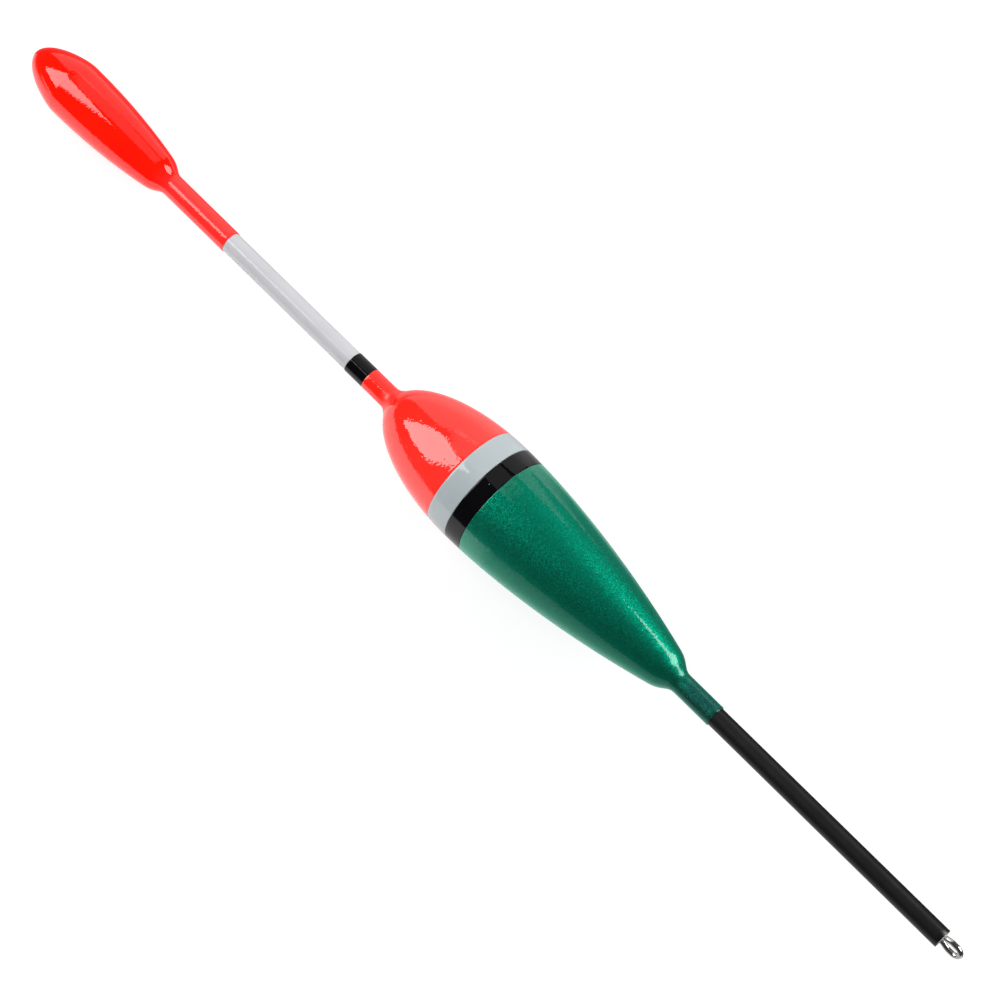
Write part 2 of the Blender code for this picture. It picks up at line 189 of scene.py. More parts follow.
def turnedTree(form):
    tree, given, result = newTree("turnedCoat", "GeometryNodeTree", (
        ("Outline", "NodeSocketGeometry"),
        ("Sides", "NodeSocketInt"),
        ("Ripple Height", "NodeSocketFloat"),
        ("Ripple Size", "NodeSocketFloat"),
        ("Low Edge", "NodeSocketFloat"),
        ("Low Drift", "NodeSocketFloat"),
        ("High Edge", "NodeSocketFloat"),
        ("High Drift", "NodeSocketFloat"),
        ("Drift Reach", "NodeSocketFloat"),
        ("Seed", "NodeSocketFloat"),
        ("Finish", "NodeSocketMaterial"),
    ), (("Coat", "NodeSocketGeometry"),))
    take = given.outputs

    # a grid of unit size with one row for each point of the outline, rolled up round the axis
    size = addNode(tree, "GeometryNodeAttributeDomainSize", {"Geometry": take["Outline"]})
    rows = size.outputs["Point Count"]
    grid = addNode(tree, "GeometryNodeMeshGrid", {
        "Size X": 1.0, "Size Y": 1.0,
        "Vertices X": sums(tree, "ADD", take["Sides"], 1.0), "Vertices Y": rows})
    place = addNode(tree, "GeometryNodeInputPosition").outputs[0]
    share = addNode(tree, "ShaderNodeSeparateXYZ", {0: place}).outputs
    turn = sums(tree, "MULTIPLY", sums(tree, "ADD", share["X"], 0.5), math.tau)
    lastRow = sums(tree, "SUBTRACT", rows, 1.0)
    row = sums(tree, "ROUND", sums(tree, "MULTIPLY", sums(tree, "ADD", share["Y"], 0.5), lastRow))
    point = addNode(tree, "GeometryNodeSampleIndex", {
        "Geometry": take["Outline"], "Value": place, "Index": row}, data_type="FLOAT_VECTOR")
    across = addNode(tree, "ShaderNodeSeparateXYZ", {0: point.outputs[0]}).outputs
    radius, height = across["X"], across["Z"]
    aroundX, aroundY = sums(tree, "COSINE", turn), sums(tree, "SINE", turn)

    low, high = (
        edgeDrift(tree, form, height, aroundX, aroundY, take[edge], take[drift], take["Drift Reach"])
        for edge, drift in (("Low Edge", "Low Drift"), ("High Edge", "High Drift")))
    height = sums(tree, "ADD", height, sums(tree, "ADD", low, high))

    # a slight ripple, as brushed and dipped lacquer dries with
    wave = addNode(tree, "ShaderNodeTexNoise", {
        "Vector": ringPoint(tree, radius, aroundX, aroundY, height), "W": take["Seed"],
        "Scale": sums(tree, "DIVIDE", 1.0, take["Ripple Size"]),
        "Detail": form["rippleDetail"]}, noise_dimensions="4D")
    offPole = sums(tree, "DIVIDE", radius, form["rippleFull"], clamp=True)
    ripple = sums(tree, "MULTIPLY", swing(tree, wave.outputs["Fac"]), take["Ripple Height"])
    radius = sums(tree, "ADD", radius, sums(tree, "MULTIPLY", ripple, offPole))

    shape = addNode(tree, "GeometryNodeSetPosition", {
        "Geometry": grid.outputs["Mesh"],
        "Position": ringPoint(tree, radius, aroundX, aroundY, height)}).outputs[0]
    shape = addNode(tree, "GeometryNodeMergeByDistance", {
        "Geometry": shape, "Distance": form["weld"]}).outputs[0]
    finishShape(tree, shape, take["Finish"], result)
    return tree


def wireTree():
    tree, given, result = newTree("bentWire", "GeometryNodeTree", (
        ("Path", "NodeSocketGeometry"),
        ("Wire Radius", "NodeSocketFloat"),
        ("Wire Sides", "NodeSocketInt"),
        ("Finish", "NodeSocketMaterial"),
    ), (("Wire", "NodeSocketGeometry"),))
    take = given.outputs
    path = addNode(tree, "GeometryNodeMeshToCurve", {"Mesh": take["Path"]})
    ring = addNode(tree, "GeometryNodeCurvePrimitiveCircle", {
        "Resolution": take["Wire Sides"], "Radius": take["Wire Radius"]})
    wire = addNode(tree, "GeometryNodeCurveToMesh", {
        "Curve": path.outputs[0], "Profile Curve": ring.outputs[0], "Fill Caps": True})
    finishShape(tree, wire.outputs[0], take["Finish"], result)
    return tree


turnedCoat = turnedTree(coatForm)
bentWire = wireTree()
print("geometry node trees built")


def bake(name, points, tree, values, node):
    # runs the tree on a line of points and puts the result, as a plain mesh, in the CAD node's place
    line = bpy.data.meshes.new(name)
    line.from_pydata(points, [(i, i + 1) for i in range(len(points) - 1)], [])
    piece = bpy.data.objects.new(name, line)
    scene.collection.objects.link(piece)
    modifier = piece.modifiers.new(tree.name, "NODES")
    modifier.node_group = tree
    setInputs(modifier, values)
    graph = bpy.context.evaluated_depsgraph_get()
    mesh = bpy.data.meshes.new_from_object(piece.evaluated_get(graph), depsgraph=graph)
    piece.modifiers.clear()
    piece.data = mesh
    bpy.data.meshes.remove(line)
    mesh.name = name

    bm = bmesh.new()
    bm.from_mesh(mesh)
    bmesh.ops.delete(bm, geom=[edge for edge in bm.edges if not edge.link_faces], context="EDGES")
    bmesh.ops.recalc_face_normals(bm, faces=bm.faces[:])
    bm.to_mesh(mesh)
    bm.free()
    mesh.transform(axisToWorld)
    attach(piece, "root")
    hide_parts(node)


plainCoat = {
    "Ripple Height": 0.0, "Ripple Size": 1.0, "Low Edge": 0.0, "Low Drift": 0.0,
    "High Edge": 0.0, "High Drift": 0.0, "Drift Reach": 1.0, "Seed": 0.0,
}


def turned(name, outline, node, finish, values):
    # turns a closed outline; what values doesn't say is as on a plain coat
    points = [(radius, 0.0, height) for radius, height in outline + outline[:1]]
    bake(name, points, turnedCoat, {**plainCoat, **values, "Finish": finish}, node)


# Outlines: lists of (radius, height) in millimetres, rising

lipSteps = 4  # points on a rounded lip
endMargin = 0.02  # an outline's own points stay this far from where it is cut
atAxis = 1e-6  # a point this near the axis is the tip


def steps(length, stride):
    return max(2, round(length / stride))


def straight(radius, low, high, rows):
    return [(radius, low + (high - low) * i / rows) for i in range(rows + 1)]


def taper(radius, endRadius, top, length, power, stride):
    # rises from its thin end to just below its top
    count = steps(length, stride)
    shares = [1 - i / count for i in range(count)]
    return [(radius - (radius - endRadius) * share ** power, top - length * share) for share in shares]


def dome(radius, low, length, power, endShare, stride):
    # rises from its widest ring to this share of its length
    count = steps(length * endShare, stride)
    shares = [math.sin(math.asin(endShare) * i / count) for i in range(count + 1)]
    return [(radius * math.sqrt(max(0.0, 1 - share ** power)), low + length * share) for share in shares]


def fillet(start, startWay, end, endWay, startRun, endRun, stride):
    # a Bezier curve: the runs are the lengths of its handles, as shares of its height
    height = abs(end[1] - start[1])
    count = steps(height, stride)
    first, last = Vector(start), Vector(end)
    firstHandle = first + Vector(startWay).normalized() * height * startRun
    lastHandle = last - Vector(endWay).normalized() * height * endRun
    points = []
    for i in range(count + 1):
        t = i / count
        near = first * (1 - t) ** 3 + firstHandle * 3 * t * (1 - t) ** 2
        far = lastHandle * 3 * t ** 2 * (1 - t) + last * t ** 3
        points.append(tuple(near + far))
    return points


def flank(shape, neckRadius, radius, top):
    # where a straight neck ends, and from there the fillet and the taper up to the widest ring
    shoulder = (shape["shoulderRadius"], top - shape["taperLength"])
    slope = shape["taperPower"] * (radius - shape["shoulderRadius"]) / shape["taperLength"]
    neckTop = shoulder[1] - shape["neckFillet"]
    neck = fillet((neckRadius, neckTop), (0, 1), shoulder, (slope, 1),
                  shape["neckRun"], shape["shoulderRun"], shape["stride"])
    side = taper(radius, shape["shoulderRadius"], top,
                 shape["taperLength"], shape["taperPower"], shape["stride"])
    return neckTop, neck[:-1] + side


def inset(outline, depth):
    # the inner face of a film of this depth
    moved = []
    for i, (radius, height) in enumerate(outline):
        way = Vector(outline[min(i + 1, len(outline) - 1)]) - Vector(outline[max(i - 1, 0)])
        way.normalize()
        if radius < atAxis:
            moved.append((0.0, height - depth))
        else:
            moved.append((radius - way.y * depth, height + way.x * depth))
    return moved


def radiusAt(outline, height):
    for (r0, z0), (r1, z1) in zip(outline, outline[1:]):
        if z0 <= height <= z1:
            return r0 + (r1 - r0) * (height - z0) / (z1 - z0)
    return outline[-1][0] if height > outline[-1][1] else outline[0][0]


def between(outline, low, high, every=1):
    inner = [point for point in outline if low + endMargin < point[1] < high - endMargin][::every]
    return [(radiusAt(outline, low), low)] + inner + [(radiusAt(outline, high), high)]


def rounded(outline, lip):
    # rounds both outer ends of an open outline by a small lip
    ends = []
    for first, second in ((outline[0], outline[1]), (outline[-1], outline[-2])):
        way = (Vector(second) - Vector(first)).normalized()
        upward = 1 if second[1] > first[1] else -1
        inward = Vector((-way.y, way.x)) * upward
        corner = Vector(first) + (way + inward) * lip
        arc = []
        for i in range(lipSteps):
            angle = math.pi / 2 * i / lipSteps
            arc.append(tuple(corner - way * lip * math.cos(angle) - inward * lip * math.sin(angle)))
        ends.append(arc)
    middle = [point for point in outline[1:-1]
              if outline[0][1] + lip < point[1] < outline[-1][1] - lip]
    return ends[0] + middle + ends[1][::-1]


# Shader groups: a lacquer's skin and dust, which several finishes share, and metal flakes

# the least size and its spread are shares of the pits' spacing, and of the specks' own size
skinForm = {"peelDetail": 1.0, "pitLeast": 0.07, "pitSpread": 0.20}
dustForm = {"speckLeast": 0.4, "speckSpread": 0.8, "toneDetail": 4.0, "speckRoughness": 0.5}


def lacquerSkinGroup(form):
    # orange peel and small pits, as a height for a bump
    tree, given, result = newTree("lacquerSkin", "ShaderNodeTree", (
        ("Vector", "NodeSocketVector"),
        ("Peel Size", "NodeSocketFloat"),
        ("Pit Spacing", "NodeSocketFloat"),
        ("Pit Share", "NodeSocketFloat"),
    ), (("Height", "NodeSocketFloat"),))
    take = given.outputs
    peelScale = sums(tree, "DIVIDE", 1.0, take["Peel Size"])
    peel = noise(tree, take["Vector"], peelScale, form["peelDetail"])
    pitScale = sums(tree, "DIVIDE", 1.0, take["Pit Spacing"])
    cells = addNode(tree, "ShaderNodeTexVoronoi", {"Vector": take["Vector"], "Scale": pitScale}).outputs
    lot = addNode(tree, "ShaderNodeSeparateColor", {0: cells["Color"]}).outputs
    chosen = sums(tree, "LESS_THAN", lot[0], take["Pit Share"])
    size = sums(tree, "MULTIPLY_ADD", lot[1], form["pitSpread"], form["pitLeast"])
    inside = sums(tree, "SUBTRACT", 1.0, sums(tree, "DIVIDE", cells["Distance"], size), clamp=True)
    pits = sums(tree, "MULTIPLY", chosen, inside)
    tree.links.new(sums(tree, "SUBTRACT", peel, pits), result.inputs["Height"])
    return tree


def dustGroup(form):
    # single specks of dust, and a soft change of tone between them
    tree, given, result = newTree("dustSpecks", "ShaderNodeTree", (
        ("Vector", "NodeSocketVector"),
        ("Spacing", "NodeSocketFloat"),
        ("Share", "NodeSocketFloat"),
        ("Speck Size", "NodeSocketFloat"),
        ("Tone Size", "NodeSocketFloat"),
    ), (("Specks", "NodeSocketFloat"), ("Tone", "NodeSocketFloat")))
    take = given.outputs
    speckScale = sums(tree, "DIVIDE", 1.0, take["Spacing"])
    cells = addNode(tree, "ShaderNodeTexVoronoi", {"Vector": take["Vector"], "Scale": speckScale}).outputs
    lot = addNode(tree, "ShaderNodeSeparateColor", {0: cells["Color"]}).outputs
    chosen = sums(tree, "LESS_THAN", lot[0], take["Share"])
    spread = sums(tree, "MULTIPLY_ADD", lot[1], form["speckSpread"], form["speckLeast"])
    inside = sums(tree, "LESS_THAN", cells["Distance"], sums(tree, "MULTIPLY", take["Speck Size"], spread))
    specks = sums(tree, "MULTIPLY", sums(tree, "MULTIPLY", chosen, inside), lot[2])
    toneScale = sums(tree, "DIVIDE", 1.0, take["Tone Size"])
    tree.links.new(specks, result.inputs["Specks"])
    tree.links.new(noise(tree, take["Vector"], toneScale, form["toneDetail"]), result.inputs["Tone"])
    return tree


def flakeGroup():
    # metal flakes: each cell has its own tilt and its own brightness
    tree, given, result = newTree("metalFlakes", "ShaderNodeTree", (
        ("Vector", "NodeSocketVector"),
        ("Flake Size", "NodeSocketFloat"),
        ("Tilt", "NodeSocketFloat"),
    ), (("Normal", "NodeSocketVector"), ("Brightness", "NodeSocketFloat")))
    take = given.outputs

    def vectors(operation, inputs):
        return addNode(tree, "ShaderNodeVectorMath", inputs, operation=operation).outputs[0]

    flakeScale = sums(tree, "DIVIDE", 1.0, take["Flake Size"])
    cells = addNode(tree, "ShaderNodeTexVoronoi", {"Vector": take["Vector"], "Scale": flakeScale}).outputs
    # a cell leans by its random colour, less the middle of all colours
    lean = vectors("SUBTRACT", {0: cells["Color"], 1: (0.5, 0.5, 0.5)})
    lean = vectors("SCALE", {0: lean, "Scale": take["Tilt"]})
    facing = addNode(tree, "ShaderNodeNewGeometry").outputs["Normal"]
    tilted = vectors("NORMALIZE", {0: vectors("ADD", {0: facing, 1: lean})})
    lot = addNode(tree, "ShaderNodeSeparateColor", {0: cells["Color"]}).outputs
    tree.links.new(tilted, result.inputs["Normal"])
    tree.links.new(lot[2], result.inputs["Brightness"])
    return tree


lacquerSkin = lacquerSkinGroup(skinForm)
dustSpecks = dustGroup(dustForm)
metalFlakes = flakeGroup()


# Finishes: colours are linear, sizes in millimetres, and a place along the float is the frame's X

toneRange = (0.3, 0.7)  # where most of a noise lies


def newFinish(name, sockets):
    material = bpy.data.materials.new(name)
    material.use_nodes = True
    tree = material.node_tree
    shader = tree.nodes["Principled BSDF"]
    for title, value in sockets.items():
        shader.inputs[title].default_value = value
    where = addNode(tree, "ShaderNodeTexCoord").outputs["Object"]
    scaled = addNode(tree, "ShaderNodeVectorMath", {0: where, "Scale": 1 / millimetre}, operation="SCALE")
    return material, tree, shader, scaled.outputs[0]


def addGroup(tree, group, where, values):
    return addNode(tree, "ShaderNodeGroup", {"Vector": where, **values}, node_tree=group).outputs


def mixColors(tree, factor, first, second):
    inputs = {0: factor, 6: first, 7: second}  # a Mix node's factor and its two colours
    return addNode(tree, "ShaderNodeMix", inputs, data_type="RGBA").outputs[2]


def bump(tree, height, depth):
    inputs = {"Height": height, "Distance": depth * millimetre}
    return addNode(tree, "ShaderNodeBump", inputs).outputs[0]


def toneShare(tree, tone, low=0.0, high=1.0):
    return mapRange(tree, tone, *toneRange, low, high)


def alongFloat(tree, where):
    return addNode(tree, "ShaderNodeSeparateXYZ", {0: where}).outputs["X"]


def glossLacquer(name, look):
    material, tree, shader, where = newFinish(name, look["sockets"])
    skin = addGroup(tree, lacquerSkin, where, look["skin"])
    dust = addGroup(tree, dustSpecks, where, look["dust"])
    color = mixColors(tree, toneShare(tree, dust["Tone"]), look["color"], look["shade"])
    if "stem" in look:
        share = mapRange(tree, alongFloat(tree, where), *look["stemFade"])
        color = mixColors(tree, share, color, look["stem"])
    color = mixColors(tree, dust["Specks"], color, look["speck"])
    tree.links.new(color, shader.inputs["Base Color"])
    # painted glow: the lacquer gives off light in its own colour, though it is no lamp, which lifts the red
    # on its shaded sides
    if "glow" in look:
        shader.inputs["Emission Strength"].default_value = look["glow"]
        tree.links.new(color, shader.inputs["Emission Color"])
    rough = sums(tree, "MULTIPLY_ADD", dust["Specks"], dustForm["speckRoughness"], look["roughness"])
    for change in look.get("corner", ()):
        rough = sums(tree, "ADD", rough, mapRange(tree, alongFloat(tree, where), *change))
    tree.links.new(rough, shader.inputs["Roughness"])
    tree.links.new(bump(tree, skin["Height"], look["peelDepth"]), shader.inputs["Normal"])
    return material


redLook = {
    "sockets": {"IOR": 1.66},
    "color": (0.93, 0.030, 0.021, 1), "shade": (0.90, 0.021, 0.014, 1), "speck": (0.75, 0.02, 0.02, 1),
    # glow is painted light: its emission keeps the red bright where it is shaded
    "glow": 0.42, "roughness": 0.02, "peelDepth": 0.018,
    # a deeper red towards the antenna's foot: from and to along the float, then its share
    "stem": (0.93, 0.015, 0.007, 1), "stemFade": (4.0, 15.0, 0.0, 1.0),
    # dull in the hollow corner at the foot: from and to along the float, then the change of roughness
    "corner": ((14.4, 15.4, 0.0, 0.36), (16.6, 17.6, 0.0, -0.29)),
    "skin": {"Peel Size": 0.42, "Pit Spacing": 0.9, "Pit Share": 0.35},
    "dust": {"Spacing": 1.5, "Share": 0.05, "Speck Size": 0.06, "Tone Size": 6.0},
}
bulbLook = {
    "sockets": {"IOR": 1.58},
    "color": (0.93, 0.007, 0.0006, 1), "shade": (0.90, 0.005, 0.0004, 1), "speck": (0.75, 0.02, 0.02, 1),
    # glow is painted light: its emission keeps the red bright where it is shaded
    "glow": 0.42, "roughness": 0.02, "peelDepth": 0.009,
    # paler on the stem, where the coat lies over white plastic: from and to along the float, then its share
    "stem": (0.93, 0.023, 0.019, 1), "stemFade": (60.0, 63.5, 1.0, 0.0),
    "skin": {"Peel Size": 0.28, "Pit Spacing": 1.1, "Pit Share": 0.25},
    "dust": {"Spacing": 1.5, "Share": 0.05, "Speck Size": 0.06, "Tone Size": 6.0},
}
whiteLook = {
    "sockets": {"IOR": 1.5},
    "color": (0.535, 0.597, 0.615, 1), "shade": (0.496, 0.558, 0.576, 1), "speck": (0.10, 0.10, 0.10, 1),
    "roughness": 0.05, "peelDepth": 0.010,
    "skin": {"Peel Size": 0.5, "Pit Spacing": 1.1, "Pit Share": 0.35},
    "dust": {"Spacing": 1.5, "Share": 0.02, "Speck Size": 0.06, "Tone Size": 4.0},
}
blackLook = {
    "sockets": {"IOR": 1.38},
    "color": (0.0035, 0.0035, 0.0045, 1), "shade": (0.0025, 0.0025, 0.003, 1),
    "speck": (0.35, 0.35, 0.36, 1), "roughness": 0.04, "peelDepth": 0.008,
    "skin": {"Peel Size": 0.6, "Pit Spacing": 1.1, "Pit Share": 0.3},
    "dust": {"Spacing": 0.8, "Share": 0.10, "Speck Size": 0.06, "Tone Size": 4.0},
}
redLacquer = glossLacquer("redLacquer", redLook)
bulbLacquer = glossLacquer("bulbLacquer", bulbLook)
whiteLacquer = glossLacquer("whiteLacquer", whiteLook)
blackLacquer = glossLacquer("blackLacquer", blackLook)

greenLook = {
    "sockets": {
        "Metallic": 0.9, "Roughness": 0.46, "Specular IOR Level": 0.0,
        "Sheen Weight": 0.8, "Sheen Roughness": 0.45, "Sheen Tint": (0.02, 0.80, 0.52, 1),
        "Coat Weight": 1.0, "Coat Roughness": 0.02, "Coat IOR": 1.48},
    "color": (0.0, 0.325, 0.191, 1), "shade": (0.0, 0.228, 0.134, 1), "spark": (0.06, 0.58, 0.40, 1),
    "flakes": {"Flake Size": 0.12, "Tilt": 0.22},
    "dust": {"Spacing": 0.28, "Share": 0.18, "Speck Size": 0.24, "Tone Size": 3.0},
    "peelSize": 0.4, "peelDetail": 1.0, "peelDepth": 0.013,
    # thin over the keel's black coat, the green darkens: from and to along the float, then its share
    "neck": (0.024, 0.205, 0.168, 1), "neckShade": (0.006, 0.075, 0.062, 1),
    "neckFade": (-41.5, -37.5, 1.0, 0.0),
}


def greenFlakes(look):
    material, tree, shader, where = newFinish("greenFlakeLacquer", look["sockets"])
    flakes = addGroup(tree, metalFlakes, where, look["flakes"])
    dust = addGroup(tree, dustSpecks, where, look["dust"])
    color = mixColors(tree, flakes["Brightness"], look["shade"], look["color"])
    neck = mixColors(tree, flakes["Brightness"], look["neckShade"], look["neck"])
    color = mixColors(tree, mapRange(tree, alongFloat(tree, where), *look["neckFade"]), color, neck)
    color = mixColors(tree, dust["Specks"], color, look["spark"])
    tree.links.new(color, shader.inputs["Base Color"])
    tree.links.new(flakes["Normal"], shader.inputs["Normal"])
    # the clear coat over the flakes has its own slight peel
    peel = noise(tree, where, 1 / look["peelSize"], look["peelDetail"])
    tree.links.new(bump(tree, peel, look["peelDepth"]), shader.inputs["Coat Normal"])
    return material


greenLacquer = greenFlakes(greenLook)

plasticLook = {
    "sockets": {"IOR": 1.5},
    "color": (0.690, 0.686, 0.715, 1), "shade": (0.648, 0.644, 0.674, 1),
    "speck": (0.648, 0.644, 0.674, 1), "roughness": (0.10, 0.16), "peelDepth": 0.002,
    "skin": {"Peel Size": 0.35, "Pit Spacing": 0.9, "Pit Share": 0.1},
    "dust": {"Spacing": 1.2, "Share": 0.04, "Speck Size": 0.05, "Tone Size": 5.0},
}
tubeLook = {
    **plasticLook, "roughness": (0.30, 0.36),
    "color": (0.90, 0.90, 0.88, 1), "shade": (0.84, 0.84, 0.82, 1), "speck": (0.84, 0.84, 0.82, 1),
}
keelLook = {
    "sockets": {"IOR": 1.57},
    "color": (0.0070, 0.0070, 0.0078, 1), "shade": (0.0050, 0.0050, 0.0056, 1),
    "speck": (0.30, 0.30, 0.30, 1), "roughness": (0.30, 0.36), "peelDepth": 0.003,
    "skin": {"Peel Size": 0.10, "Pit Spacing": 0.6, "Pit Share": 0.15},
    "dust": {"Spacing": 1.4, "Share": 0.10, "Speck Size": 0.05, "Tone Size": 2.2},
}


def satin(name, look):
    material, tree, shader, where = newFinish(name, look["sockets"])
    skin = addGroup(tree, lacquerSkin, where, look["skin"])
    dust = addGroup(tree, dustSpecks, where, look["dust"])
    color = mixColors(tree, toneShare(tree, dust["Tone"]), look["color"], look["shade"])
    color = mixColors(tree, dust["Specks"], color, look["speck"])
    tree.links.new(color, shader.inputs["Base Color"])
    tree.links.new(toneShare(tree, dust["Tone"], *look["roughness"]), shader.inputs["Roughness"])
    tree.links.new(bump(tree, skin["Height"], look["peelDepth"]), shader.inputs["Normal"])
    return material


whitePlastic = satin("whitePlastic", plasticLook)
keelPlastic = satin("keelPlastic", tubeLook)
blackKeelCoat = satin("blackKeelCoat", keelLook)

steelLook = {
    "sockets": {"Metallic": 1.0}, "scale": 9.0, "detail": 4.0, "roughness": (0.12, 0.20), "depth": 0.002,
    "color": (0.84, 0.82, 0.80, 1), "shade": (0.95, 0.93, 0.91, 1),
}
glueLook = {
    "sockets": {"IOR": 1.5}, "scale": 3.0, "detail": 4.0, "roughness": (0.3, 0.5), "depth": 0.06,
    "color": (0.80, 0.80, 0.78, 1), "shade": (0.62, 0.62, 0.60, 1),
}
woodLook = {
    "sockets": {}, "scale": 1.0, "detail": 6.0, "roughness": (0.6, 0.85), "depth": 0.05,
    "color": (0.72, 0.53, 0.33, 1), "shade": (0.52, 0.35, 0.19, 1),
    "stretch": (0.12, 1.6, 1.6),  # the grain runs along the float
}


def grained(name, look):
    # one noise drives the colour, the roughness and the relief
    material, tree, shader, where = newFinish(name, look["sockets"])
    if "stretch" in look:
        where = addNode(tree, "ShaderNodeMapping", {"Vector": where, "Scale": look["stretch"]}).outputs[0]
    grain = noise(tree, where, look["scale"], look["detail"])
    tree.links.new(mixColors(tree, grain, look["color"], look["shade"]), shader.inputs["Base Color"])
    tree.links.new(toneShare(tree, grain, *look["roughness"]), shader.inputs["Roughness"])
    tree.links.new(bump(tree, grain, look["depth"]), shader.inputs["Normal"])
    return material


steelWire = grained("steelWire", steelLook)
whiteGlue = grained("whiteGlue", glueLook)
floatWood = grained("floatWood", woodLook)
print("finishes built")


# Body: four coats on one turned outline, in millimetres as all pieces are

bodyShape = {
    "taperLength": 34.0, "taperPower": 1.79, "shoulderRadius": 3.14,
    "domeLength": 18.4, "domePower": 2.0, "crownRadius": 2.635,
    "neckFillet": 3.5, "crownFillet": 1.6, "shoulderRun": 0.62, "neckRun": 0.37,
    "film": 0.14, "lip": 0.03, "stride": 0.2, "crownStride": 0.1,
    "sides": 256, "neckRows": 24, "footRows": 16, "innerEvery": 6,
    "ripple": 0.0020, "rippleSize": 1.0, "seed": 1.0,
    "drift": 0.05, "neckDrift": 0.22, "driftReach": 0.6,
}


def bodySkin(shape):
    radius, top = widest("white_body_band")
    low, high = span("green_body_coat")[0], span("red_body_coat")[1]
    neckRadius = ringRadius("green_body_coat", low)
    footRadius = ringRadius("red_body_coat", high)
    neckTop, side = flank(shape, neckRadius, radius, top)
    crownShare = (1 - (shape["crownRadius"] / radius) ** 2) ** (1 / shape["domePower"])
    cap = dome(radius, top, shape["domeLength"], shape["domePower"], crownShare, shape["stride"])
    crownWay = Vector(cap[-1]) - Vector(cap[-2])
    crown = fillet(cap[-1], crownWay, (footRadius, cap[-1][1] + shape["crownFillet"]), (0, 1),
                   shape["neckRun"], shape["neckRun"], shape["crownStride"])
    neck = straight(neckRadius, low, neckTop, shape["neckRows"])
    foot = straight(footRadius, crown[-1][1], high, shape["footRows"])
    return neck[:-1] + side + cap[:-1] + crown + foot[1:]


def coatOutline(shape, skin, low, high):
    outer = rounded(between(skin, low, high), shape["lip"])
    inner = between(inset(skin, shape["film"]), low, high, shape["innerEvery"])
    return outer + inner[::-1]


def buildBody(shape):
    skin = bodySkin(shape)
    coats = (
        ("greenBodyCoat", "green_body_coat", "green_lacquer", greenLacquer, "neckDrift"),
        ("blackBodyBand", "black_body_band", "black_lacquer", blackLacquer, "drift"),
        ("whiteBodyBand", "white_body_band", "white_lacquer", whiteLacquer, "drift"),
        ("redBodyCoat", "red_body_coat", "red_lacquer", redLacquer, "drift"),
    )
    for name, node, slot, finish, lowDrift in coats:
        low, high = span(node)
        # the heights of edges are rounded, so that two coats that meet wander together
        turned(name, coatOutline(shape, skin, low, high), node, finish, {
            "Sides": shape["sides"], "Seed": shape["seed"],
            "Ripple Height": shape["ripple"], "Ripple Size": shape["rippleSize"],
            "Low Edge": round(low, 1), "Low Drift": shape[lowDrift],
            "High Edge": round(high, 1), "High Drift": shape["drift"], "Drift Reach": shape["driftReach"]})


buildBody(bodyShape)
print("body coats built")


# Antenna: the white tube, the black ring, and the bulb's dipped red coat

bulbShape = {
    "taperLength": 17.8, "taperPower": 2.07, "shoulderRadius": 2.895, "nosePower": 1.4,
    "neckFillet": 3.4, "shoulderRun": 0.62, "neckRun": 0.37,
    "film": 0.14, "lip": 0.07, "stride": 0.2, "sides": 192, "stemRows": 40, "innerEvery": 6,
    "ripple": 0.0014, "rippleSize": 0.9, "seed": 2.0, "drift": 0.06, "driftReach": 1.0,
}
antennaShape = {"lip": 0.03, "sides": 128, "rows": 40, "drift": 0.05, "driftReach": 0.6}


def bulbOutline(shape):
    radius, top = widest("red_bulb_coat")
    low, tip = span("red_bulb_coat")
    stemRadius = ringRadius("red_bulb_coat", low)
    bore = boreRadius("black_antenna_ring")
    neckLow, side = flank(shape, stemRadius, radius, top)
    nose = dome(radius, top, tip - top, shape["nosePower"], 1.0, shape["stride"])
    skin = straight(stemRadius, low, neckLow, shape["stemRows"])[:-1] + side + nose
    outer = rounded(skin + [(0.0, tip)], shape["lip"])[:-lipSteps] + [(0.0, tip)]
    inner = [point for point in inset(skin, shape["film"])[::shape["innerEvery"]]
             if point[0] > bore and point[1] > neckLow]
    return outer + [(0.0, tip - shape["film"])] + inner[::-1] + [(bore, inner[0][1]), (bore, low)]


def sleeveOutline(node, lip, rows):
    low, high = span(node)
    bore = boreRadius(node)
    return [(bore, low)] + rounded(straight(widest(node)[0], low, high, rows), lip) + [(bore, high)]


def buildAntenna(shape, bulb):
    turned("redBulbCoat", bulbOutline(bulb), "red_bulb_coat", bulbLacquer, {
        "Sides": bulb["sides"], "Seed": bulb["seed"],
        "Ripple Height": bulb["ripple"], "Ripple Size": bulb["rippleSize"],
        "Low Edge": round(span("red_bulb_coat")[0], 1), "Low Drift": bulb["drift"],
        "Drift Reach": bulb["driftReach"]})

    for name, node, slot, finish in (
            ("antennaTube", "antenna_tube", "white_plastic", whitePlastic),
            ("blackAntennaRing", "black_antenna_ring", "black_lacquer", blackLacquer)):
        low, high = span(node)
        turned(name, sleeveOutline(node, shape["lip"], shape["rows"]), node, finish, {
            "Sides": shape["sides"], "Low Edge": round(low, 1), "High Edge": round(high, 1),
            "Low Drift": shape["drift"], "High Drift": shape["drift"], "Drift Reach": shape["driftReach"]})


buildAntenna(antennaShape, bulbShape)
print("antenna and bulb built")


# Keel: its black coat, the white tube inside, the glue plug and the wire eye

keelShape = {
    "lip": 0.03, "tubeLip": 0.02, "sides": 128, "rows": 60,
    "plugDish": 0.12, "dishPower": 3, "plugRows": 8, "plugSides": 64,
}
eyeShape = {
    "wireRadius": 0.39, "legOffset": 0.47, "holeWidth": 0.74, "turn": 29.0,
    "straightLength": 0.57, "bendLength": 1.0, "wireSides": 24, "bends": 40,
}


